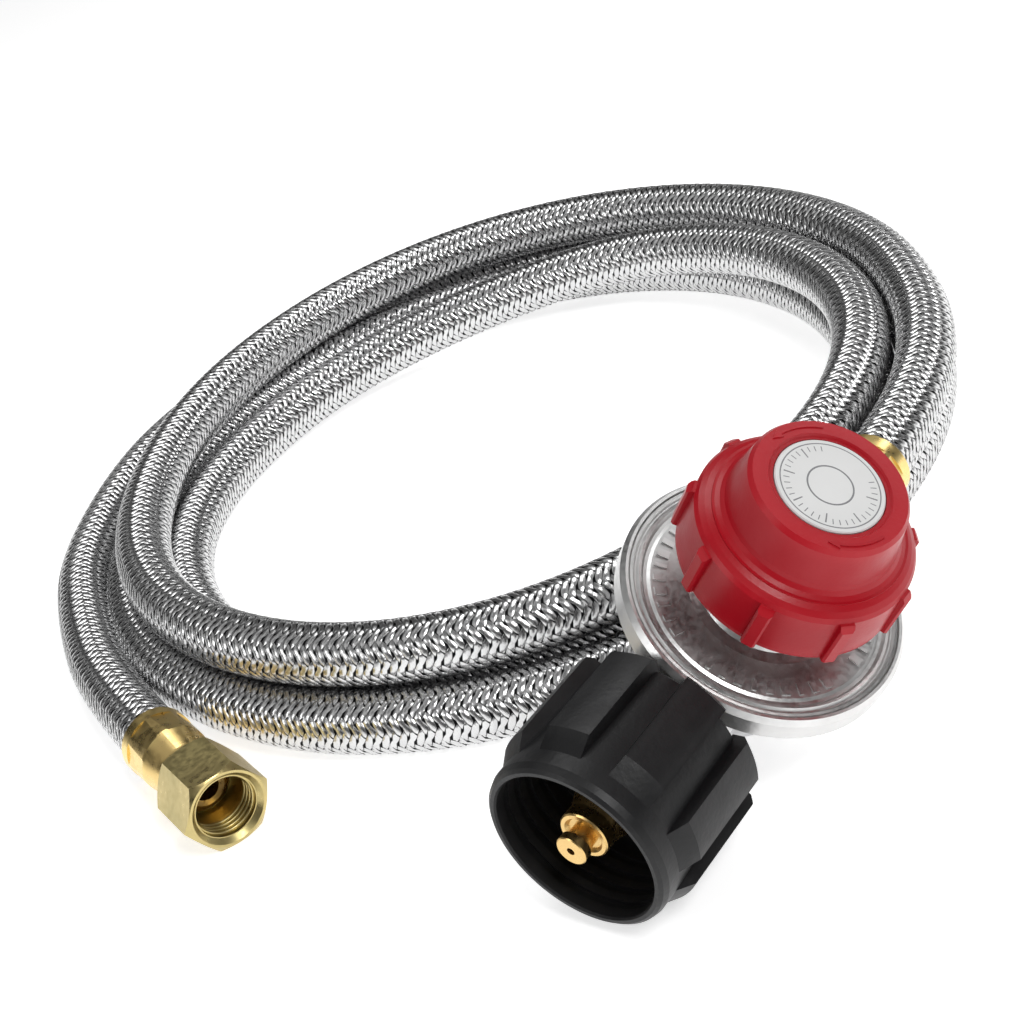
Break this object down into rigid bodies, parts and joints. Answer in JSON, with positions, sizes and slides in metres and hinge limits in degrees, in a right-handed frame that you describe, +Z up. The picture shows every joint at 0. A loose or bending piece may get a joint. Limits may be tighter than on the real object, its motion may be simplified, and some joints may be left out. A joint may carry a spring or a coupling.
{
  "type": "propane regulator hose",
  "caption": "Adjustable high pressure gas regulator with a red knob, a black hand nut on the inlet and a long coiled braided steel hose ending in a brass flare swivel nut.",
  "frame": {"origin": "on the surface the part lies on, under the middle of the regulator without its hose", "axes": "+X along the inlet axis, out of the inlet nut; +Z up; the knob leans 36 degrees from vertical towards +Y"},
  "size_m": [0.2825, 0.3004, 0.0738],
  "materials": {
    "regulator_body": "die cast, painted satin silver",
    "bonnet": "satin zinc plated",
    "rim_ring": "satin, rolled",
    "diaphragm": "fabric reinforced rubber",
    "orifice": "turned",
    "screw_bush": "turned",
    "diaphragm_plate": "zinc plated",
    "diaphragm_stem": "turned",
    "lever": "pressed",
    "lever_pin": "ground",
    "valve_holder": "turned",
    "valve_seat": "smooth",
    "main_spring": "zinc plated wire",
    "spring_seat": "zinc plated",
    "adjusting_screw": "zinc plated",
    "knob": "moulded, glossy red",
    "knob_label": "printed disc, white",
    "inlet_nut": "moulded, satin black",
    "thermal_bushing": "moulded",
    "inlet_nipple": "turned",
    "flow_poppet": "turned",
    "flow_spring": "stainless wire",
    "outlet_fitting": "machined",
    "outlet_ferrule": "crimped",
    "end_ferrule": "crimped",
    "end_stem": "turned",
    "swivel_nut": "machined, dulled",
    "hose_outlet": "braided stainless steel",
    "hose_coil": "braided stainless steel",
    "hose_end": "braided stainless steel"
  },
  "bodies": {
    "regulator": {"regulator_body": "regulator_body", "bonnet": "bonnet", "rim_ring": "rim_ring", "diaphragm": "diaphragm", "orifice": "orifice", "screw_bush": "screw_bush", "lever_pin": "lever_pin", "main_spring": "main_spring", "inlet_nipple": "inlet_nipple", "flow_spring": "flow_spring", "outlet_fitting": "outlet_fitting", "outlet_ferrule": "outlet_ferrule", "end_ferrule": "end_ferrule", "end_stem": "end_stem", "hose_outlet": "hose_outlet", "hose_coil": "hose_coil", "hose_end": "hose_end"},
    "inlet_nut": {"inlet_nut": "inlet_nut", "thermal_bushing": "thermal_bushing"},
    "spring_seat": {"spring_seat": "spring_seat"},
    "knob": {"knob": "knob", "knob_label": "knob_label", "adjusting_screw": "adjusting_screw"},
    "diaphragm_stack": {"diaphragm_plate": "diaphragm_plate", "diaphragm_stem": "diaphragm_stem"},
    "lever": {"lever": "lever"},
    "valve": {"valve_holder": "valve_holder", "valve_seat": "valve_seat"},
    "flow_poppet": {"flow_poppet": "flow_poppet"},
    "swivel_nut": {"swivel_nut": "swivel_nut"}
  },
  "joints": [
    {"name": "seat_travel", "type": "slide", "parent": "regulator", "child": "spring_seat", "axis": [0, -0.5878, -0.809], "range_m": [0, 0.005], "deforming": ["main_spring"]},
    {"name": "knob_turn", "type": "hinge", "parent": "spring_seat", "child": "knob", "pos_m": [-0.00075, 0.01279, 0.05436], "axis": [0, -0.5878, -0.809], "range_deg": [0, 1440]},
    {"name": "diaphragm_travel", "type": "slide", "parent": "regulator", "child": "diaphragm_stack", "axis": [0, -0.5878, -0.809], "range_m": [0, 0.0012], "stiffness_N_per_m": 2000, "deforming": ["diaphragm"]},
    {"name": "lever_swing", "type": "hinge", "parent": "regulator", "child": "lever", "pos_m": [0.00625, -0.01507, 0.01601], "axis": [0, -0.809, 0.5878], "range_deg": [0, 9.6]},
    {"name": "valve_travel", "type": "slide", "parent": "regulator", "child": "valve", "axis": [-1, 0, 0], "range_m": [0, 0.00104]},
    {"name": "poppet_travel", "type": "slide", "parent": "regulator", "child": "flow_poppet", "axis": [-1, 0, 0], "range_m": [0, 0.002], "stiffness_N_per_m": 300, "deforming": ["flow_spring"]},
    {"name": "inlet_nut_turn", "type": "hinge", "parent": "regulator", "child": "inlet_nut", "pos_m": [0.04425, -0.01072, 0.022], "axis": [1, 0, 0], "continuous": true},
    {"name": "swivel_nut_turn", "type": "hinge", "parent": "regulator", "child": "swivel_nut", "pos_m": [0.06639, -0.1145, 0.00953], "axis": [0.3107, 0.9505, 0], "continuous": true}
  ],
  "couplings": [
    {"joint": "knob_turn", "follows": "seat_travel", "rad_per_m": 5026.5},
    {"joint": "lever_swing", "follows": "diaphragm_travel", "rad_per_m": 137.93},
    {"joint": "valve_travel", "follows": "diaphragm_travel", "ratio": 0.855}
  ]
}
